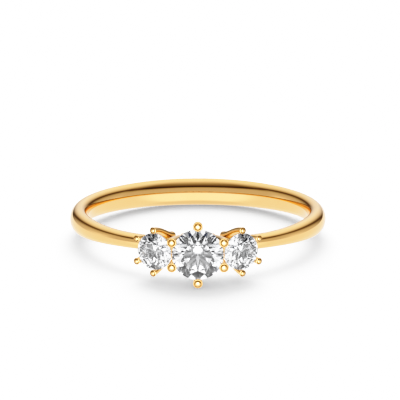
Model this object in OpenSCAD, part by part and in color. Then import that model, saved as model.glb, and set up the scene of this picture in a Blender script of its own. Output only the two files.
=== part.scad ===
// Three stone ring: a tapered band whose head holds a round brilliant between
// two smaller ones that lean outwards. The ring lies on its side, at rest on the
// back of its band and on the lowest prong of the head, with the stones towards -Y.

/* [Band] */
// Diameter of the finger hole
bore_d = 17.6; // [14:0.1:22]
// Width of the band at the back, along the finger
back_w = 2.2; // [1.6:0.05:3]
// Width of the band half way round
side_w = 1.84; // [1.4:0.02:2.8]
// Width of the band under the head
head_w = 1.16; // [1:0.02:1.6]
// Thickness of the band at the back
back_t = 1.35; // [1.2:0.05:2]
// Thickness of the band half way round
side_t = 1.4; // [1.2:0.05:2]
// Thickness of the band under the head
head_t = 1.25; // [1:0.05:1.6]
// Angle from the middle of the head at which the band starts to widen
taper_start = 26; // [20:1:40]

/* [Stones] */
// Girdle diameter of the centre stone
centre_d = 4; // [3.6:0.05:4.5]
// Girdle diameter of each side stone
side_d = 2.9; // [2.6:0.05:3.3]
// Height of the centre girdle above the finger hole
centre_rise = 3.85; // [3.6:0.05:4.5]
// Angle by which each side stone leans outwards
side_lean = 28; // [20:1:34]
// Clearance between the centre girdle and a side girdle, across the finger
stone_gap = 0.08; // [0.05:0.01:0.2]
// Drop of a side girdle's inner edge below the centre girdle
side_drop = 0.37; // [0.2:0.01:0.6]

/* [Brilliant cut] */
// Table width as a share of the girdle diameter
table_share = 0.57; // [0.5:0.01:0.65]
// Slope of the kite facets of the crown
crown_angle = 34.5; // [30:0.5:38]
// Length of the star facets as a share of the crown's run
star_share = 0.5; // [0.4:0.01:0.6]
// Girdle thickness as a share of the girdle diameter
girdle_share = 0.04; // [0.036:0.001:0.06]
// Slope of the main facets of the pavilion
pavilion_angle = 40.8; // [38:0.2:43]
// Length of the lower girdle facets as a share of the pavilion's run
lower_share = 0.77; // [0.65:0.01:0.85]

/* [Prongs] */
// Diameter of the centre prongs just under their tips
centre_wire = 0.72; // [0.5:0.02:0.8]
// Diameter of the rounded tips of the centre prongs
centre_tip = 0.76; // [0.66:0.02:0.84]
// Diameter of the centre prongs at their feet
centre_foot = 0.8; // [0.7:0.02:0.9]
// Diameter of the side prongs just under their tips
side_wire = 0.48; // [0.4:0.02:0.56]
// Diameter of the rounded tips of the side prongs
side_tip = 0.54; // [0.5:0.02:0.64]
// Diameter of the side prongs at their feet
side_foot = 0.66; // [0.54:0.02:0.74]
// How far the middle of a prong tip stands outside the girdle it holds
tip_out = 0.25; // [0.2:0.01:0.3]
// How far the middle of a prong tip stands above the girdle it holds
tip_up = 0.22; // [0.1:0.01:0.3]
// Angle by which both ends of a prong lean out from the stone's axis
prong_lean = 6; // [0:1:10]
// Angle of the shared prongs, up or down from the line through the stones
shared_angle = 26; // [22:0.5:32]
// Angle of the outer prongs of a side stone, up or down from the same line
outer_angle = 32; // [20:1:40]
// Clearance between a stone and the seat that is cut for it
seat_gap = 0.03; // [0.02:0.01:0.06]

/* [Cups] */
// Diameter of the cup that the centre prongs stand on
centre_cup = 2.4; // [2:0.05:2.8]
// Diameter of the cup that the prongs of a side stone stand on
side_cup = 1.4; // [1.2:0.05:1.6]
// How far a cup's rim stands above the band
cup_rise = 0.15; // [0.05:0.05:0.4]
// Metal left between a cup's floor and the finger hole
cup_floor = 0.25; // [0.2:0.05:0.4]
// How far the middle of a prong's foot lies above the finger hole
foot_rise = 0.55; // [0.45:0.05:0.8]

/* [Hidden] */

gold = [0.93, 0.74, 0.37];
diamond = [0.93, 0.95, 0.98];

bore_r = bore_d / 2;

// Where the band is widest, and how wide its inner flat is, as shares of its section
widest_share = 0.36;
flat_share = 0.62;

// Mesh fineness: sections round the band, points round half a section, and so on
band_sections = 84;
outer_steps = 8;
inner_steps = 3;
wire_sides = 12;
wire_steps = 9;
foot_steps = 3;
dome_steps = 5;
cup_steps = 6;
bore_faces = 180;
seat_faces = 96;
cup_faces = 48;
// The girdle has 16 facets above and 16 below, and each one's edge is cut in this many
girdle_steps = 3;

// How far the stock of the band reaches into the finger hole, where the bore trims it
trim = 0.08;

// Lengths over which a prong holds its lean at its foot and at its tip, as shares
// of its whole height
foot_hold = 0.29;
tip_hold = 0.41;

// Girdle centres. The side stone's inner edge is stone_gap beside the centre
// girdle and side_drop below it, and the stone leans out from there.
centre_y = bore_r + centre_rise;
side_x = centre_d / 2 + stone_gap + side_d / 2 * cos(side_lean);
side_y = centre_y - side_drop - side_d / 2 * sin(side_lean);

// Half a cosine wave from 0 to 1
function ease(u) = (1 - cos(180 * min(max(u, 0), 1))) / 2;

// A size of the band at an angle from the middle of the head, from its values
// under the head, half way round and at the back
function along_band(angle, head, side, back) =
    angle < 90
        ? head + (side - head) * ease((angle - taper_start) / (90 - taper_start))
        : side + (back - side) * ease((angle - 90) / 90);

// Outline of the band's section, counter-clockwise from its lower inner corner:
// half an ellipse outside, and a quarter of one at each inner corner. The corner's
// first stretch runs on into the finger hole, so that the bore cuts it cleanly.
function band_section(half_w, t) =
    let (
        wide = widest_share * t,
        flat = flat_share * half_w,
        step = 90 / inner_steps,
        stock_half = flat - trim * (half_w - flat) * sin(step) / (wide * (1 - cos(step)))
    )
    concat(
        [[-trim, -stock_half]],
        [for (i = [1:inner_steps - 1])
            [wide * (1 - cos(step * i)), -flat - (half_w - flat) * sin(step * i)]],
        [for (i = [0:outer_steps])
            let (a = -90 + 180 * i / outer_steps)
            [wide + (t - wide) * cos(a), half_w * sin(a)]],
        [for (i = [inner_steps - 1:-1:1])
            [wide * (1 - cos(step * i)), flat + (half_w - flat) * sin(step * i)]],
        [[-trim, stock_half]]
    );

module band_stock() {
    sections = [for (i = [0:band_sections - 1])
        let (
            turn = 360 * i / band_sections,
            from_head = turn > 180 ? 360 - turn : turn,
            half_w = along_band(from_head, head_w, side_w, back_w) / 2,
            t = along_band(from_head, head_t, side_t, back_t)
        )
        [for (p = band_section(half_w, t))
            [(bore_r + p[0]) * sin(turn), -(bore_r + p[0]) * cos(turn), p[1]]]];
    n = len(sections[0]);
    polyhedron(
        points = [for (s = sections) each s],
        faces = [for (i = [0:band_sections - 1], j = [0:n - 1])
            let (
                here = i * n,
                next = (i + 1) % band_sections * n,
                k = (j + 1) % n
            )
            each [[here + k, next + k, next + j], [here + k, next + j, here + j]]]
    );
}

function bezier(p, u) =
    pow(1 - u, 3) * p[0] + 3 * u * pow(1 - u, 2) * p[1] + 3 * u * u * (1 - u) * p[2] + pow(u, 3) * p[3];
function bezier_way(p, u) =
    let (way = pow(1 - u, 2) * (p[1] - p[0]) + 2 * u * (1 - u) * (p[2] - p[1]) + u * u * (p[3] - p[2]))
    way / norm(way);

// A prong in its stone's frame, where z is the stone's axis and z = 0 its girdle.
// Its middle line goes from the foot to the tip, both given as [distance from the
// axis, height], and each end is a dome. A ring is a middle, a way and a radius.
module prong(foot, tip, foot_d, wire_d, tip_d) {
    height = tip[1] - foot[1];
    leaning = [tan(prong_lean), 1];
    line = [foot, foot + foot_hold * height * leaning, tip - tip_hold * height * leaning, tip];
    foot_way = bezier_way(line, 0);
    tip_way = bezier_way(line, 1);
    tip_start = -acos(wire_d / tip_d);
    rings = concat(
        [for (i = [1:foot_steps - 1])
            let (a = 90 * i / foot_steps - 90)
            [foot + foot_way * foot_d / 2 * sin(a), foot_way, foot_d / 2 * cos(a)]],
        [for (i = [0:wire_steps - 1])
            let (u = i / wire_steps)
            [bezier(line, u), bezier_way(line, u), (foot_d + (wire_d - foot_d) * u) / 2]],
        [for (i = [0:dome_steps - 1])
            let (a = tip_start + (90 - tip_start) * i / dome_steps)
            [tip + tip_way * tip_d / 2 * sin(a), tip_way, tip_d / 2 * cos(a)]]
    );
    low_end = foot - foot_way * foot_d / 2;
    high_end = tip + tip_way * tip_d / 2;
    n = wire_sides;
    last = (len(rings) - 1) * n;
    polyhedron(
        points = concat(
            [for (ring = rings, j = [0:n - 1])
                let (a = 360 * (j + 0.5) / n, side = ring[2] * cos(a))
                [ring[0][0] + side * ring[1][1], ring[2] * sin(a), ring[0][1] - side * ring[1][0]]],
            [[low_end[0], 0, low_end[1]], [high_end[0], 0, high_end[1]]]
        ),
        faces = concat(
            [for (j = [0:n - 1]) [j, (j + 1) % n, last + n]],
            [for (i = [0:len(rings) - 2], j = [0:n - 1])
                let (low = i * n, high = low + n, k = (j + 1) % n)
                each [[high + j, high + k, low + k], [high + j, low + k, low + j]]],
            [for (j = [0:n - 1]) [last + n + 1, last + (j + 1) % n, last + j]]
        )
    );
}

// Puts its children in the frame of a stone: side is -1 for the left one,
// 0 for the centre one and 1 for the right one
module at_stone(side) {
    translate([side * side_x, side == 0 ? -centre_y : -side_y, 0])
        rotate([90, 0, side * side_lean]) children();
}

// Depth from a stone's girdle, down its axis, to a distance r from the finger's axis
function depth_to(side, r) =
    let (
        x = abs(side) * side_x,
        y = side == 0 ? centre_y : side_y,
        lean = abs(side) * side_lean,
        along = x * sin(lean) + y * cos(lean)
    )
    along - sqrt(along * along - x * x - y * y + r * r);

module centre_prong(angle) {
    rotate([0, 0, angle])
        prong(
            [centre_cup / 2, -depth_to(0, bore_r + foot_rise)],
            [centre_d / 2 + tip_out, tip_up], centre_foot, centre_wire, centre_tip
        );
}

module side_prong(angle) {
    rotate([0, 0, angle])
        prong(
            [side_cup / 2, -depth_to(1, bore_r + foot_rise)],
            [side_d / 2 + tip_out, tip_up], side_foot, side_wire, side_tip
        );
}

// The bowl that a stone's prongs stand on, round the stone's axis. It is half an
// ellipse in section, flat on top, and its lower half lies within the band.
module cup(side, d) {
    top = -depth_to(side, bore_r + head_t + cup_rise);
    bottom = -depth_to(side, bore_r + cup_floor);
    rotate_extrude($fn = cup_faces)
        polygon([
            for (i = [0:cup_steps])
                let (a = 90 * i / cup_steps)
                [d / 2 * sin(a), top + (bottom - top) * cos(a)],
            [0, top]
        ]);
}

// Radii and heights of a round brilliant of girdle radius 1. The table's corners
// and the kites are at every eighth turn, and the stars half way between them.
girdle_half = girdle_share;
star_inner = table_share * cos(22.5);
star_r = star_inner + star_share * (1 - star_inner);
lower_r = 1 - lower_share;
table_h = girdle_half + (1 - table_share) * tan(crown_angle);
star_h = girdle_half + (1 - star_r * cos(22.5)) * tan(crown_angle);
lower_h = -girdle_half - (1 - lower_r * cos(22.5)) * tan(pavilion_angle);
culet_h = -girdle_half - tan(pavilion_angle);

// How far a girdle facet's plane dips at an angle along its edge on the round
// girdle, for a facet that rises or falls by rise to the radius r
function girdle_dip(angle, rise, r) =
    (cos(angle - 11.25) - cos(11.25)) * rise / (cos(11.25) * (1 - r));

module brilliant(d) {
    per_eighth = 2 * girdle_steps;
    around = 8 * per_eighth;
    function polar(r, a, h) = [r * cos(a), r * sin(a), h] * d / 2;
    function edge(j) = (j % girdle_steps) * 22.5 / girdle_steps;
    stars = 8;
    upper = 16;
    lower = upper + around;
    mains = lower + around;
    culet = mains + 8;
    polyhedron(
        points = concat(
            [for (k = [0:7]) polar(table_share, 45 * k, table_h)],
            [for (k = [0:7]) polar(star_r, 45 * k + 22.5, star_h)],
            [for (j = [0:around - 1])
                polar(1, 360 * j / around, girdle_half - girdle_dip(edge(j), star_h - girdle_half, star_r))],
            [for (j = [0:around - 1])
                polar(1, 360 * j / around, -girdle_half - girdle_dip(edge(j), lower_h + girdle_half, lower_r))],
            [for (k = [0:7]) polar(lower_r, 45 * k + 22.5, lower_h)],
            [[0, 0, culet_h * d / 2]]
        ),
        faces = concat(
            [[for (k = [7:-1:0]) k]],
            [for (k = [0:7]) [(k + 1) % 8, stars + k, k]],
            [for (k = [0:7]) [k, stars + k, upper + k * per_eighth, stars + (k + 7) % 8]],
            [for (k = [0:7], half = [0, 1])
                [stars + k, for (j = [girdle_steps:-1:0])
                    upper + (k * per_eighth + half * girdle_steps + j) % around]],
            [for (j = [0:around - 1])
                let (next = (j + 1) % around)
                [upper + j, upper + next, lower + next, lower + j]],
            [for (k = [0:7], half = [0, 1])
                [mains + k, for (j = [0:girdle_steps])
                    lower + (k * per_eighth + half * girdle_steps + j) % around]],
            [for (k = [0:7]) [culet, mains + (k + 7) % 8, lower + k * per_eighth, mains + k]]
        )
    );
}

// The room that a stone and its clearance take, turned on the stone's axis
module seat(d) {
    r = d / 2;
    rotate_extrude($fn = seat_faces)
        polygon([
            [0, culet_h * r - seat_gap],
            [lower_r * r + seat_gap, lower_h * r - seat_gap],
            [r + seat_gap, -girdle_half * r - seat_gap],
            [r + seat_gap, girdle_half * r + seat_gap],
            [star_r * r + seat_gap, star_h * r + seat_gap],
            [table_share * r, table_h * r + seat_gap],
            [0, table_h * r + seat_gap]
        ]);
}

// The tilt at which the ring rests on the back of its band and on a prong tip
// that is tip_y in front of the finger's axis and tip_z below the band's middle.
// The back's outer half is an ellipse, so its lowest point has a closed form, and
// the sine settles in a few rounds.
back_wide = widest_share * back_t;
function back_reach(tilt) =
    norm([(back_t - back_wide) * sin(tilt), back_w / 2 * cos(tilt)]);
function tilt_on(tip_y, tip_z, tip_d, rounds = 6, tilt = 0) =
    rounds == 0
        ? tilt
        : tilt_on(tip_y, tip_z, tip_d, rounds - 1,
            asin((tip_z * cos(tilt) + tip_d / 2 - back_reach(tilt)) / (bore_r + back_wide + tip_y)));

centre_tip_y = centre_y + tip_up;
centre_tip_z = centre_d / 2 + tip_out;
side_tip_y = side_y + tip_up * cos(side_lean);
side_tip_z = side_d / 2 + tip_out;
rest_tilt = max(
    tilt_on(centre_tip_y, centre_tip_z, centre_tip),
    tilt_on(side_tip_y, side_tip_z, side_tip)
);
rest_lift = (bore_r + back_wide) * sin(rest_tilt) + back_reach(rest_tilt);

// Front and back of the resting ring, from which its middle follows
table_r = table_share * centre_d / 2;
front_y = -max(
    centre_tip_y * cos(rest_tilt) + centre_tip_z * sin(rest_tilt) + centre_tip / 2,
    (centre_y + table_h * centre_d / 2) * cos(rest_tilt) + table_r * sin(rest_tilt)
);
rear_y = (bore_r + back_wide) * cos(rest_tilt)
    + norm([(back_t - back_wide) * cos(rest_tilt), back_w / 2 * sin(rest_tilt)]);

// From the ring's own frame, with Z along the finger, to the way it lies
module at_rest() {
    translate([0, -(front_y + rear_y) / 2, rest_lift]) rotate([-rest_tilt, 0, 0]) children();
}

module ring_mount() {
    color(gold)
        at_rest()
            difference() {
                union() {
                    band_stock();
                    at_stone(0) {
                        cup(0, centre_cup);
                        for (angle = [90, -90, shared_angle, -shared_angle, 180 - shared_angle, shared_angle - 180])
                            centre_prong(angle);
                    }
                    for (side = [-1, 1])
                        at_stone(side) {
                            cup(side, side_cup);
                            for (angle = [90, -90, 90 - side * (90 - outer_angle), side * (90 - outer_angle) - 90])
                                side_prong(angle);
                        }
                }
                cylinder(h = 2 * centre_d, d = bore_d, center = true, $fn = bore_faces);
                at_stone(0) seat(centre_d);
                for (side = [-1, 1])
                    at_stone(side) seat(side_d);
            }
}

module centre_stone() {
    color(diamond) at_rest() at_stone(0) brilliant(centre_d);
}

module left_stone() {
    color(diamond) at_rest() at_stone(-1) brilliant(side_d);
}

module right_stone() {
    color(diamond) at_rest() at_stone(1) brilliant(side_d);
}

ring_mount();
centre_stone();
left_stone();
right_stone();
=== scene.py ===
import bpy
import numpy as np
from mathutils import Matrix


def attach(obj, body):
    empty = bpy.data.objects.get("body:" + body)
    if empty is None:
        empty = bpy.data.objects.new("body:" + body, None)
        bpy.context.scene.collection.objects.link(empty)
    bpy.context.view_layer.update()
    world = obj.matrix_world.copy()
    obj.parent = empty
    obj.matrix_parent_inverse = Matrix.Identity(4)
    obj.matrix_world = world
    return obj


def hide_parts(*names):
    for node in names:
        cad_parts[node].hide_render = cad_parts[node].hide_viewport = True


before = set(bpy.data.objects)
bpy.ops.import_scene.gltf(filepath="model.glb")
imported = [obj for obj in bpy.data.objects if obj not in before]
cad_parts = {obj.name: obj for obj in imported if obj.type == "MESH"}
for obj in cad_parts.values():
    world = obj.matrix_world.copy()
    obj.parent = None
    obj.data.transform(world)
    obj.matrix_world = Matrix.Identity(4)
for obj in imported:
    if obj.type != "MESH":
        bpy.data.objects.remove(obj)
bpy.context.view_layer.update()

# The band is one ring of 18 ct yellow gold, cast with the head and polished all over.
# It is an oval wire, rounder inside at the back and fuller at the sides, widest at the
# back and drawn in towards the head, so that the stones look larger.

# Sizes are in millimetres in the ring's own frame: Z along the finger, the head at -Y
bore_r = 8.8
back_w, side_w, head_w = 2.2, 1.84, 1.16
back_t, side_t, head_t = 1.35, 1.4, 1.25
taper_start = 26.0
# The share of the thickness that lies inside the widest line, and how the inside curves:
# 1 is an ellipse, more is rounder and less is fuller
inner_share = 0.526
back_curve, side_curve, head_curve = 1.44, 0.7, 0.7

# The ring lies on the back of its band and on its lowest prong, a little tilted
rest_tilt = np.radians(3.9485)
rest_lift = 1.73843
rest_shift = 1.62262
mm = 0.001


def as_it_lies(points):
    """Points of the ring's own frame, where the ring lies, in metres: turned by -rest_tilt about X
    to (x, y cos + z sin, -y sin + z cos), then shifted and raised."""
    x, y, z = np.moveaxis(np.asarray(points, float), -1, 0)
    c, s = np.cos(rest_tilt), np.sin(rest_tilt)
    return np.stack([x, y * c + z * s + rest_shift, -y * s + z * c + rest_lift], -1) * mm


def ease(u):
    """Half a cosine wave: (1 - cos(pi u)) / 2, from 0 at u = 0 to 1 at u = 1."""
    return (1 - np.cos(np.pi * np.clip(u, 0, 1))) / 2


def along_band(turn, head, side, back):
    """A size of the band at turn degrees from the middle of the head: head up to the taper, then
    eased to side at a quarter turn, and eased on to back at half a turn."""
    from_head = 180 - abs(180 - turn)
    near = head + (side - head) * ease((from_head - taper_start) / (90 - taper_start))
    far = side + (back - side) * ease((from_head - 90) / 90)
    return np.where(from_head < 90, near, far)


def band_surface(turns, outer_points, inner_points):
    """Section by section round the finger. A section is an oval of two halves that meet at its
    widest line, e from the finger: outside (e + (t - e) cos a, h sin a), and inside
    (e - e (cos a)^c, h sin a)."""
    turn = np.linspace(0, 360, turns, endpoint=False)[:, None]
    h = along_band(turn, head_w, side_w, back_w) / 2
    t = along_band(turn, head_t, side_t, back_t)
    c = along_band(turn, head_curve, side_curve, back_curve)
    e = inner_share * t
    outside = np.radians(np.linspace(-90, 90, outer_points))[None]
    inside = np.radians(np.linspace(90, -90, inner_points))[None, 1:-1]
    r = np.concatenate([e + (t - e) * np.cos(outside), e - e * np.cos(inside) ** c], 1) + bore_r
    z = np.concatenate([h * np.sin(outside), h * np.sin(inside)], 1)
    angle = np.radians(turn)
    return np.stack([r * np.sin(angle), -r * np.cos(angle), z], -1)


def skin(name, grids, poles=()):
    """One mesh over several grids of points. In each grid every ring of points joins the next,
    and the last ring joins the first, or both ends close on the grid's two poles."""
    verts, faces, start = [], [], 0
    closed = not len(poles)
    for k, grid in enumerate(grids):
        rings, n = grid.shape[:2]
        i, j = np.meshgrid(np.arange(rings if closed else rings - 1), np.arange(n), indexing="ij")
        here, there = start + i * n, start + (i + 1) % rings * n
        after = (j + 1) % n
        faces += np.stack([here + j, there + j, there + after, here + after], -1).reshape(-1, 4).tolist()
        verts.append(grid.reshape(-1, 3))
        if not closed:
            verts.append(np.asarray(poles[k]))
            first, last, low = start, start + (rings - 1) * n, start + rings * n
            j = np.arange(n)
            after = (j + 1) % n
            faces += np.stack([first + j, first + after, low + 0 * j], -1).tolist()
            faces += np.stack([last + after, last + j, low + 1 + 0 * j], -1).tolist()
            start += 2
        start += rings * n
    mesh = bpy.data.meshes.new(name)
    mesh.from_pydata(as_it_lies(np.concatenate(verts)).tolist(), [], faces)
    mesh.validate()
    mesh.shade_smooth()
    piece = bpy.data.objects.new(name, mesh)
    bpy.context.scene.collection.objects.link(piece)
    return piece


def linear(code):
    """An sRGB hex colour as linear RGBA: s / 12.92 near black, else ((s + 0.055) / 1.055)^2.4."""
    s = np.array([int(code[k : k + 2], 16) for k in (1, 3, 5)]) / 255
    return (*np.where(s <= 0.04045, s / 12.92, ((s + 0.055) / 1.055) ** 2.4), 1.0)


def node(tree, kind, settings=None, links=None):
    """Adds a node of a kind. Settings are inputs by name or number, fields by name, or a ramp's
    "stops", and links are inputs with the outputs that feed them. In a Mix node 0 is the factor,
    2 and 3 are the numbers and 6 and 7 the colours."""
    new = tree.nodes.new(kind)
    for name, value in (settings or {}).items():
        if name == "stops":
            ramp = new.color_ramp.elements
            for place, _ in value[2:]:
                ramp.new(place)
            for stop, (place, grey) in zip(ramp, value):
                stop.position = place
                stop.color = (*np.broadcast_to(grey, 3), 1)
        elif isinstance(name, int) or name in new.inputs:
            new.inputs[name].default_value = value
        else:
            setattr(new, name, value)
    for name, output in (links or {}).items():
        tree.links.new(output, new.inputs[name])
    return new


# 18 ct yellow gold, polished on a buff: a mirror with a warm tint, whose reflections
# are softened here and there where the buff has left a faint haze and a slow ripple.
# Ripples are 4 mm long. Haze is too fine to show, so its patches are drawn 1.4 mm wide.
haze_per_mm, ripple_per_mm = 0.7, 0.26
ripple_height = 0.04 * mm
polished_gold = bpy.data.materials.new("polished_yellow_gold")
polished_gold.use_nodes = True
tree = polished_gold.node_tree
tree.nodes.clear()
place = node(tree, "ShaderNodeTexCoord")
haze = node(
    tree, "ShaderNodeTexNoise", {"Scale": haze_per_mm / mm, "Detail": 3.0},
    {"Vector": place.outputs["Object"]},
)
gloss = node(
    tree, "ShaderNodeMapRange",
    {"From Min": 0.3, "From Max": 0.7, "To Min": 0.03, "To Max": 0.08},
    {"Value": haze.outputs["Fac"]},
)
tone = node(
    tree, "ShaderNodeMix", {"data_type": "RGBA", 6: linear("#f8cc94"), 7: linear("#fad19c")},
    {"Factor": haze.outputs["Fac"]},
)
# Painted shade: an attribute that only the prongs have darkens the gold to brown, most in the groove round
# each bead and a little towards their feet
line = node(tree, "ShaderNodeAttribute", {"attribute_name": "burr_line"})
shaded_tone = node(
    tree, "ShaderNodeMix", {"data_type": "RGBA", 7: linear("#553816")},
    {"Factor": line.outputs["Fac"], 6: tone.outputs[2]},
)
ripple = node(
    tree, "ShaderNodeTexNoise", {"Scale": ripple_per_mm / mm, "Detail": 1.0},
    {"Vector": place.outputs["Object"]},
)
waves = node(
    tree, "ShaderNodeBump", {"Strength": 0.12, "Distance": ripple_height}, {"Height": ripple.outputs["Fac"]},
)
metal = node(
    tree, "ShaderNodeBsdfPrincipled", {"Metallic": 1.0},
    {
        "Base Color": shaded_tone.outputs[2], "Roughness": gloss.outputs["Result"],
        "Normal": waves.outputs["Normal"],
    },
)
node(tree, "ShaderNodeOutputMaterial", {}, {"Surface": metal.outputs["BSDF"]})

band = skin("band", [band_surface(turns=420, outer_points=41, inner_points=45)])
band.data.materials.append(polished_gold)
# Rays inside the stones pass the gold by, which keeps orange out of them
band.visible_transmission = False
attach(band, "root")
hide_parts("ring_mount")

# The prongs are gold wires that grow out of the cups, swing out along each stone's pavilion
# and end in a bead that is pressed over its girdle, with a notch cut for it. The four
# beside the centre stone hold two stones each.
centre_d, side_d = 4.0, 2.9
centre_rise, side_lean, stone_gap, side_drop = 3.85, np.radians(28.0), 0.08, 0.37
centre_y = bore_r + centre_rise
side_x = centre_d / 2 + stone_gap + side_d / 2 * np.cos(side_lean)
side_y = centre_y - side_drop - side_d / 2 * np.sin(side_lean)
centre_cup_d, side_cup_d, foot_rise = 2.4, 1.4, 0.55
centre_foot_d, centre_wire_d, centre_bead_d = 0.8, 0.72, 0.76
side_foot_d, side_wire_d, side_bead_d = 0.66, 0.48, 0.54
tip_out, tip_up = 0.25, 0.22
seat_gap = 0.03
# Degrees from the row of stones to a shared prong, and from a side stone's upright prongs to
# its outer ones
shared_turn, outer_turn = 26, 58
# A wire leaves its foot and reaches its tip at this lean, held for these shares of its height
prong_lean = np.tan(np.radians(6.0))
foot_hold, tip_hold = 0.29, 0.41
# Points round a prong, and rings in the dome of its foot and along its wire
prong_sides, foot_rings, wire_rings = 40, 6, 40

# Heights and radii of a brilliant of girdle radius 1, from its culet to its table
cut_heights = np.array([-0.9032, -0.7212, -0.04, 0.04, 0.2253, 0.3355])
cut_radii = np.array([0.0, 0.23, 1.0, 1.0, 0.7633, 0.57])


def depth_to(side, r):
    """Depth down a stone's axis from its girdle to distance r from the finger's axis:
    L - sqrt(L^2 - g^2 + r^2), where g is the girdle's own distance and L its share along the axis."""
    x, y, lean = (side_x, side_y, side_lean) if side else (0.0, centre_y, 0.0)
    along = x * np.sin(lean) + y * np.cos(lean)
    return along - np.sqrt(along**2 - x**2 - y**2 + r**2)


def at_stone(points, side):
    """From a stone's frame, whose z is its axis and z = 0 its girdle, to the ring's frame:
    (x, y, z) goes to (x, -z, y), turned by the lean about Z and moved to the girdle."""
    x, y, z = np.moveaxis(points, -1, 0)
    lean = side * side_lean
    c, s = np.cos(lean), np.sin(lean)
    home = (side * side_x, -side_y) if side else (0.0, -centre_y)
    return np.stack([x * c + z * s + home[0], x * s - z * c + home[1], y], -1)


def from_stone(points, side):
    """The way back from the ring's frame to a stone's frame: moved to the girdle, turned back by
    the lean about Z, and (x, -z, y) goes to (x, y, z)."""
    home = (side * side_x, -side_y) if side else (0.0, -centre_y)
    x, y, z = points[..., 0] - home[0], points[..., 1] - home[1], points[..., 2]
    lean = side * side_lean
    c, s = np.cos(lean), np.sin(lean)
    return np.stack([x * c + y * s, z, x * s - y * c], -1)


def notched(points, side):
    """Points of the ring's frame, pushed straight out from a stone's axis to the seat round that
    stone wherever they lie inside it."""
    own = from_stone(points, side)
    girdle_r = (side_d if side else centre_d) / 2
    room = np.interp(own[..., 2], cut_heights * girdle_r, cut_radii * girdle_r + seat_gap, left=0, right=0)
    reach = np.hypot(own[..., 0], own[..., 1])
    grown = np.where(reach < room, room / np.maximum(reach, 1e-9), 1.0)
    own = np.stack([own[..., 0] * grown, own[..., 1] * grown, own[..., 2]], -1)
    return at_stone(own, side)


# A bead's outline in shares of its radius: the wire swells round to a shoulder, drops over a
# lip to the groove that the setter's cup burr leaves, and rises in a dome
shoulder = np.radians(np.linspace(0, 75, 7))
shoulder_r, shoulder_h, shoulder_round = 0.76, 0.08, 0.24
lip_r, lip_h, groove_r, groove_h = 0.74, 0.30, 0.67, 0.27
dome = np.radians(np.linspace(8, 90, 12))
dome_r, dome_h, dome_lift = 0.61, 0.34, 0.02
bead_r = np.concatenate([
    shoulder_r + shoulder_round * np.cos(shoulder), [lip_r, groove_r], dome_r * np.cos(dome),
])
bead_h = np.concatenate([
    shoulder_h + shoulder_round * np.sin(shoulder), [lip_h, groove_h],
    groove_h + dome_lift + dome_h * np.sin(dome),
])

# How much painted shade browns each ring of points, from the foot up: a little that fades along the wire, and
# most in the groove, from the last ring of the shoulder to the second of the dome
foot_shade, shade_fall, groove_shade = 0.1, 1.3, (0.4, 1.0, 1.0, 0.8, 0.1)
burr_line = np.concatenate([
    np.full(foot_rings, foot_shade), foot_shade * np.linspace(1, 0, wire_rings) ** shade_fall,
    np.zeros(len(shoulder) - 1), groove_shade, np.zeros(len(dome) - 3),
])


def prong_surface(side, angle, foot, tip, foot_d, wire_d, bead_d):
    """A tube along a cubic curve (1-u)^3 p0 + 3u (1-u)^2 p1 + 3u^2 (1-u) p2 + u^3 p3 from foot to
    tip in the plane through the stone's axis, with its ends at one lean, its radius going evenly
    from foot to wire, half a ball below and a bead above."""
    foot, tip = np.array(foot), np.array(tip)
    leaning = np.array([prong_lean, 1.0]) * (tip[1] - foot[1])
    p = np.array([foot, foot + foot_hold * leaning, tip - tip_hold * leaning, tip])
    u = np.linspace(0, 1, wire_rings)[:, None]
    wire = (1 - u) ** 3 * p[0] + 3 * u * (1 - u) ** 2 * p[1] + 3 * u**2 * (1 - u) * p[2] + u**3 * p[3]
    way = (1 - u) ** 2 * (p[1] - p[0]) + 2 * u * (1 - u) * (p[2] - p[1]) + u**2 * (p[3] - p[2])
    way = way / np.linalg.norm(way, axis=1, keepdims=True)
    ball = np.radians(np.linspace(-90, 0, foot_rings + 2)[1:-1])[:, None]
    r, h = bead_r[:-1, None] * bead_d / 2, bead_h[:-1, None] * bead_d / 2
    middle = np.concatenate([foot + way[0] * foot_d / 2 * np.sin(ball), wire, tip + way[-1] * h])
    ways = np.concatenate([np.repeat(way[:1], len(ball), 0), way, np.repeat(way[-1:], len(r), 0)])
    radius = np.concatenate([foot_d / 2 * np.cos(ball), (foot_d + (wire_d - foot_d) * u) / 2, r])
    a = np.radians(np.linspace(360, 0, prong_sides, endpoint=False))[None]
    out = middle[:, :1] + radius * np.cos(a) * ways[:, 1:]
    up = middle[:, 1:] - radius * np.cos(a) * ways[:, :1]
    across = radius * np.sin(a)
    ends = np.array([foot - way[0] * foot_d / 2, tip + way[-1] * bead_h[-1] * bead_d / 2])
    c, s = np.cos(np.radians(angle)), np.sin(np.radians(angle))
    grid = np.stack([out * c - across * s, out * s + across * c, up], -1)
    poles = np.stack([ends[:, 0] * c, ends[:, 0] * s, ends[:, 1]], -1)
    return at_stone(grid, side), at_stone(poles, side)


centre_grids, centre_poles = [], []
for angle in (90, -90, shared_turn, -shared_turn, 180 - shared_turn, shared_turn - 180):
    grid, ends = prong_surface(
        0, angle, (centre_cup_d / 2, -depth_to(0, bore_r + foot_rise)),
        (centre_d / 2 + tip_out, tip_up), centre_foot_d, centre_wire_d, centre_bead_d,
    )
    for side in (-1, 0, 1):
        grid = notched(grid, side)
    centre_grids.append(grid)
    centre_poles.append(ends)
centre_prongs = skin("centre_prongs", centre_grids, centre_poles)

side_grids, side_poles = [], []
for side in (-1, 1):
    for angle in (90, -90, 90 - side * outer_turn, side * outer_turn - 90):
        grid, ends = prong_surface(
            side, angle, (side_cup_d / 2, -depth_to(1, bore_r + foot_rise)),
            (side_d / 2 + tip_out, tip_up), side_foot_d, side_wire_d, side_bead_d,
        )
        side_grids.append(notched(grid, side))
        side_poles.append(ends)
side_prongs = skin("side_prongs", side_grids, side_poles)

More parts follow.
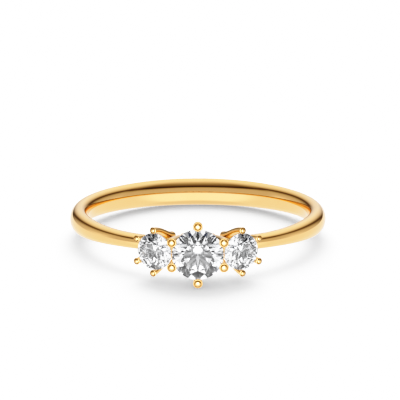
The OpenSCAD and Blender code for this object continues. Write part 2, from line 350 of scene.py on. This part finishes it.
# Prongs and cups show neither in the gold nor in the stones, which keeps orange out of the
# crevices
for piece, prongs in ((centre_prongs, len(centre_grids)), (side_prongs, len(side_grids))):
    # The painted shade goes on each prong's points as an attribute
    shade_values = np.tile(np.append(np.repeat(burr_line, prong_sides), [0.0, 0.0]), prongs)
    line = piece.data.attributes.new("burr_line", "FLOAT", "POINT")
    line.data.foreach_set("value", shade_values.astype(np.float32))
    piece.visible_transmission = piece.visible_glossy = False
    piece.data.materials.append(polished_gold)
    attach(piece, "root")
    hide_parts("ring_mount")

# The cups are small gold bowls between the band and the stones, soldered to the band. They
# take the feet of the prongs, and little of them shows between the wires.
cup_rise, cup_floor, rim_share = 0.15, 0.25, 0.5
cup_rings, cup_sides, sharp_edge = 16, 72, np.radians(40)


def cup_surface(side, d):
    """A bowl turned on a stone's axis: a quarter of an ellipse from its floor to its rim,
    (d/2 sin a, top + (bottom - top) cos a), then flat in to the middle."""
    top, bottom = -depth_to(side, bore_r + head_t + cup_rise), -depth_to(side, bore_r + cup_floor)
    a = np.radians(np.linspace(0, 90, cup_rings)[1:])
    r = np.concatenate([d / 2 * np.sin(a), [rim_share * d / 2]])[:, None]
    h = np.concatenate([top + (bottom - top) * np.cos(a), [top]])[:, None]
    around = np.radians(np.linspace(360, 0, cup_sides, endpoint=False))[None]
    grid = np.stack([r * np.cos(around), r * np.sin(around), h + 0 * around], -1)
    return at_stone(grid, side), at_stone(np.array([[0, 0, bottom], [0, 0, top]]), side)


bowls = [cup_surface(0, centre_cup_d), cup_surface(-1, side_cup_d), cup_surface(1, side_cup_d)]
cups = skin("cups", [grid for grid, _ in bowls], [ends for _, ends in bowls])
cups.data.set_sharp_from_angle(angle=sharp_edge)
cups.visible_transmission = cups.visible_glossy = False
cups.data.materials.append(polished_gold)
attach(cups, "root")
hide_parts("ring_mount")

# The stones are three round brilliants, cut and polished diamonds that drop into
# their seats from above. They are clear and all but colourless, and they bend light
# so strongly that most of what enters the crown comes back out of it.

# Polished diamond: clear as glass, with the hardest sparkle of any stone. Its trace of cold
# tint lies in clouds too fine to show, so they are drawn 1.1 mm wide.
cloud_per_mm = 0.9
diamond = bpy.data.materials.new("polished_diamond")
diamond.use_nodes = True
tree = diamond.node_tree
tree.nodes.clear()
place = node(tree, "ShaderNodeTexCoord")
cloud = node(
    tree, "ShaderNodeTexNoise", {"Scale": cloud_per_mm / mm, "Detail": 2.0},
    {"Vector": place.outputs["Object"]},
)
tint = node(
    tree, "ShaderNodeMix", {"data_type": "RGBA", 6: linear("#fbfcff"), 7: linear("#ffffff")},
    {"Factor": cloud.outputs["Fac"]},
)
crystal = node(
    tree, "ShaderNodeBsdfPrincipled",
    {"Roughness": 0.0, "IOR": 2.42, "Transmission Weight": 1.0},
    {"Base Color": tint.outputs[2]},
)
node(tree, "ShaderNodeOutputMaterial", {}, {"Surface": crystal.outputs["BSDF"]})
for name in ("centre_stone", "left_stone", "right_stone"):
    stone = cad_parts[name]
    stone.data.materials.clear()
    stone.data.materials.append(diamond)

# The ring lies on a wide sheet of matt white paper. It glows a little, so that the shadows
# are as light as a photographer's fill leaves them. It casts no shadow, and rays from the
# gold and the stones pass it by and meet the white ground of the tent instead.
sheet_half = 1.5  # metres
corners = [(x * sheet_half, y * sheet_half, 0) for x, y in ((-1, -1), (1, -1), (1, 1), (-1, 1))]
sheet = bpy.data.meshes.new("paper")
sheet.from_pydata(corners, [], [(0, 1, 2, 3)])
floor = bpy.data.objects.new("paper", sheet)
bpy.context.scene.collection.objects.link(floor)

# Matt wood-free paper, pressed but not coated: an even white with a faint mottle. Its fibres
# are too fine to show, so the mottle is drawn 0.3 mm wide.
mottle_per_mm = 3.0
fill_glow = 0.38
paper = bpy.data.materials.new("white_paper")
paper.use_nodes = True
tree = paper.node_tree
tree.nodes.clear()
place = node(tree, "ShaderNodeTexCoord")
grain = node(
    tree, "ShaderNodeTexNoise", {"Scale": mottle_per_mm / mm, "Detail": 2.0},
    {"Vector": place.outputs["Object"]},
)
shade = node(
    tree, "ShaderNodeMix", {"data_type": "RGBA", 6: linear("#f4f4f4"), 7: linear("#f8f8f8")},
    {"Factor": grain.outputs["Fac"]},
)
matt = node(
    tree, "ShaderNodeBsdfPrincipled",
    {
        "Roughness": 0.9, "Specular IOR Level": 0.2,
        "Emission Color": (1, 1, 1, 1), "Emission Strength": fill_glow,
    },
    {"Base Color": shade.outputs[2]},
)
node(tree, "ShaderNodeOutputMaterial", {}, {"Surface": matt.outputs["BSDF"]})
sheet.materials.append(paper)
floor.visible_glossy = False
floor.visible_shadow = False
floor.visible_transmission = False

# The light is a white tent round the ring: a softbox overhead, a dark gap below it, grey
# cloth under the gap and white ground. Every part of it goes by direction in the world.
tent = bpy.data.worlds.new("tent")
bpy.context.scene.world = tent
tent.use_nodes = True
tree = tent.node_tree
tree.nodes.clear()
way = node(tree, "ShaderNodeTexCoord")
parts = node(tree, "ShaderNodeSeparateXYZ", {}, {0: way.outputs["Generated"]})
level = node(
    tree, "ShaderNodeVectorMath", {"operation": "MULTIPLY", 1: (1, 1, 0)}, {0: way.outputs["Generated"]},
)
level = node(tree, "ShaderNodeVectorMath", {"operation": "NORMALIZE"}, {0: level.outputs[0]})
heading = node(tree, "ShaderNodeSeparateXYZ", {}, {0: level.outputs[0]})

# The softbox falls off in ovals: spread is 0 straight up and 1 at the gap on the camera's
# side, and the oval's middle lies a little aside
gap_x, gap_y, aside, widest = 0.76, 0.72, 0.021, 1.6
oval = node(
    tree, "ShaderNodeMapping",
    {"Location": (-aside / gap_x, 0, 0), "Scale": (1 / gap_x, 1 / gap_y, 0)},
    {"Vector": way.outputs["Generated"]},
)
spread = node(tree, "ShaderNodeVectorMath", {"operation": "LENGTH"}, {0: oval.outputs[0]})
share = node(tree, "ShaderNodeMath", {"operation": "DIVIDE", 1: widest}, {0: spread.outputs["Value"]})
greys = (
    (0.05, 1.2), (0.12, 1.0), (0.25, 0.84), (0.45, 0.61), (0.65, 0.41), (0.85, 0.24), (0.94, 0.14),
    (1.0, 0.1), (1.04, 0.2), (1.09, 0.45), (1.15, 0.64), (1.2, 0.7), (1.35, 0.72),
)
stops = [(place / widest, grey) for place, grey in greys]
overhead = node(tree, "ShaderNodeValToRGB", {"stops": stops}, {0: share.outputs[0]})

# Behind the ring the gap runs straight down to the horizon on either side of a line a little
# aside, and slant is the height above a plane along the gap
behind_aside, gap_plane = 0.075, (-0.543, 0.35, 0.763)
folded = node(
    tree, "ShaderNodeVectorMath", {"operation": "SUBTRACT", 1: (behind_aside, 0, 0)},
    {0: way.outputs["Generated"]},
)
folded = node(tree, "ShaderNodeVectorMath", {"operation": "ABSOLUTE"}, {0: folded.outputs[0]})
slant = node(tree, "ShaderNodeVectorMath", {"operation": "DOT_PRODUCT", 1: gap_plane}, {0: folded.outputs[0]})
share = node(tree, "ShaderNodeMapRange", {"From Min": -1.0}, {"Value": slant.outputs["Value"]})
greys = (
    (-0.5, 1.1), (-0.4, 0.92), (-0.3, 0.75), (-0.17, 0.7), (-0.1, 0.58), (0.0, 0.33), (0.05, 0.18),
    (0.1, 0.17), (0.15, 0.33), (0.2, 0.52), (0.27, 0.74), (0.35, 0.92), (0.45, 1.08), (0.6, 1.25),
    (0.7, 1.25),
)
stops = [((place + 1) / 2, grey) for place, grey in greys]
behind = node(tree, "ShaderNodeValToRGB", {"stops": stops}, {0: share.outputs[0]})

# Where each part of the tent hangs: what it goes by, where it begins and where it is full,
# and the part that it lies within. Each mask is eased from 0 to 1.
masks = {"all": None}
for name, output, begins, full, within in (
    ("behind", parts.outputs["Y"], -0.3, 0.2, "all"),
    ("ground", parts.outputs["Z"], -0.035, -0.105, "all"),
    ("front_ground", heading.outputs["Y"], -0.3, -0.75, "ground"),
    ("under", parts.outputs["Z"], -0.88, -0.99, "all"),
):
    links = {"Value": output}
    if within != "all":
        links["To Max"] = masks[within]
    masks[name] = node(
        tree, "ShaderNodeMapRange",
        {"interpolation_type": "SMOOTHSTEP", "From Min": begins, "From Max": full}, links,
    ).outputs["Result"]

light = node(tree, "ShaderNodeMix", {}, {0: masks["behind"], 2: overhead.outputs[0], 3: behind.outputs[0]})
for name, grey in (("ground", 1.15), ("front_ground", 1.45), ("under", 1.0)):
    light = node(tree, "ShaderNodeMix", {3: grey}, {0: masks[name], 2: light.outputs[0]})

# What the stones gather is cut harder, as a jeweller's black and white cards do: mostly black
# from the horizon to a third of the way up, and white from the ground and from higher up. The
# cards stand in four columns, from the camera's side round to straight behind the ring, each
# card at its height in degrees. Two cool ones and a warm one show as a little fire.
height = node(tree, "ShaderNodeMapRange", {"From Min": -1.0}, {"Value": parts.outputs["Z"]})
navy, tan = (0.01, 0.03, 0.1), (0.45, 0.33, 0.24)
columns = (
    (-1.0, ((-60, 1.7), (-15, 1.8), (-7, 0.0), (5, 0.0), (8, 0.5), (11, 0.3), (14, 0.0), (28, 0.0),
            (36, 1.6), (46, 1.4), (58, 0.2), (75, 1.7))),
    (-0.88, ((-60, 1.7), (-15, 1.8), (-7, 0.0), (28, 0.0), (36, 0.5), (46, 1.8), (58, 1.8), (75, 1.3))),
    (-0.3, ((-60, 1.2), (-46, 1.6), (-24, 1.4), (-15, 1.0), (-7, 0.0), (7, 1.2), (14, 0.0), (28, 0.0),
            (36, navy), (46, 0.8), (75, 1.1))),
    (1.0, ((-60, 1.6), (-46, 0.9), (-34, 0.9), (-24, tan), (-15, 0.1), (-7, 0.1), (0, 1.2), (7, 1.7),
           (14, 0.0), (28, navy), (36, 0.0), (46, 1.0), (58, 0.1), (75, 0.5))),
)
gathered, last = None, -1.0
for reached, cards in columns:
    stops = [((np.sin(np.radians(angle)) + 1) / 2, grey) for angle, grey in cards]
    column = node(tree, "ShaderNodeValToRGB", {"stops": stops}, {0: height.outputs[0]}).outputs[0]
    if gathered:
        along = node(
            tree, "ShaderNodeMapRange", {"From Min": last, "From Max": reached}, {0: heading.outputs["Y"]},
        )
        column = node(
            tree, "ShaderNodeMix", {"data_type": "RGBA"}, {0: along.outputs[0], 6: gathered, 7: column},
        ).outputs[2]
    gathered, last = column, reached

# The camera sees plain white past the paper, and rays inside the stones meet the cards
seen = node(tree, "ShaderNodeLightPath")
light = node(tree, "ShaderNodeMix", {3: 1.0}, {0: seen.outputs["Is Camera Ray"], 2: light.outputs[0]})
given = node(
    tree, "ShaderNodeMix", {"data_type": "RGBA"},
    {0: seen.outputs["Is Transmission Ray"], 6: light.outputs[0], 7: gathered},
)
glow = node(tree, "ShaderNodeBackground", {"Strength": 1.0}, {"Color": given.outputs[2]})
node(tree, "ShaderNodeOutputWorld", {}, {"Surface": glow.outputs["Background"]})


# Two round softboxes: the key stands behind the ring, throws its shadows forwards on the
# paper and shows in neither gold nor stones, and the front one lights the prongs alone.
def lamp(name, azimuth, elevation, distance, size, energy):
    """A round softbox turned to the ring, at distance times
    (sin azimuth cos elevation, cos azimuth cos elevation, sin elevation)."""
    data = bpy.data.lights.new(name, "AREA")
    data.shape, data.size, data.energy = "DISK", size, energy
    new = bpy.data.objects.new(name, data)
    a, e = np.radians(azimuth), np.radians(elevation)
    new.location = np.array([np.sin(a) * np.cos(e), np.cos(a) * np.cos(e), np.sin(e)]) * distance
    new.rotation_euler = (np.pi / 2 - e, 0, np.pi - a)
    new.visible_camera = False
    bpy.context.scene.collection.objects.link(new)
    return new


key = lamp("key", azimuth=0, elevation=38, distance=0.6, size=0.7, energy=4.4)
key.visible_glossy = key.visible_transmission = False
front = lamp("front", azimuth=180, elevation=8, distance=0.6, size=0.85, energy=6.0)
head_only = bpy.data.collections.new("head_only")
for piece in (centre_prongs, side_prongs):
    head_only.objects.link(piece)
front.light_linking.receiver_collection = head_only

# The camera stands almost 17 degrees above the paper, straight before the head and far
# enough off for a long lens. It looks a little above the middle of the finger hole.
elevation = np.radians(16.75)
distance = 0.4
camera_data = bpy.data.cameras.new("camera")
camera_data.sensor_width = 36.0
camera_data.lens = 451.0
camera_data.clip_start, camera_data.clip_end = 0.01, 20.0
camera = bpy.data.objects.new("camera", camera_data)
ring_middle = np.array([0, rest_shift, rest_lift]) * mm
ahead = np.array([0, np.cos(elevation), -np.sin(elevation)])
upward = np.array([0, np.sin(elevation), np.cos(elevation)])
beside, above = 0.167 * mm, 1.415 * mm
camera.location = ring_middle - ahead * distance + np.array([beside, 0, 0]) + upward * above
camera.rotation_euler = (np.pi / 2 - elevation, 0, 0)
bpy.context.scene.collection.objects.link(camera)
bpy.context.scene.camera = camera

# A print's contrast: the darks are pulled down, as far as the gold's browns go, and the
# whites roll off at white_level
scene = bpy.context.scene
scene.view_settings.view_transform = "Standard"
scene.view_settings.use_curve_mapping = True
curves = scene.view_settings.curve_mapping
white_level = 1.6
curves.white_level = (white_level, white_level, white_level)
curve = curves.curves[3]
curve.points[-1].location = (1.0, 1.0)
for x, y in (
    (0.07, 0.0097), (0.14, 0.045), (0.2, 0.105), (0.275, 0.184), (0.39, 0.314),
    (0.65, 0.6), (0.85, 0.78), (1.05, 0.9), (1.3, 0.98),
):
    curve.points.new(x / white_level, y)
curves.update()

# Light goes to and fro in the stones many times. The bright lines that the gold would throw
# on to the paper are left out, because they turn the shadows brown.
scene.cycles.max_bounces = 32
scene.cycles.transmission_bounces = 32
scene.cycles.glossy_bounces = 12
scene.cycles.caustics_reflective = False
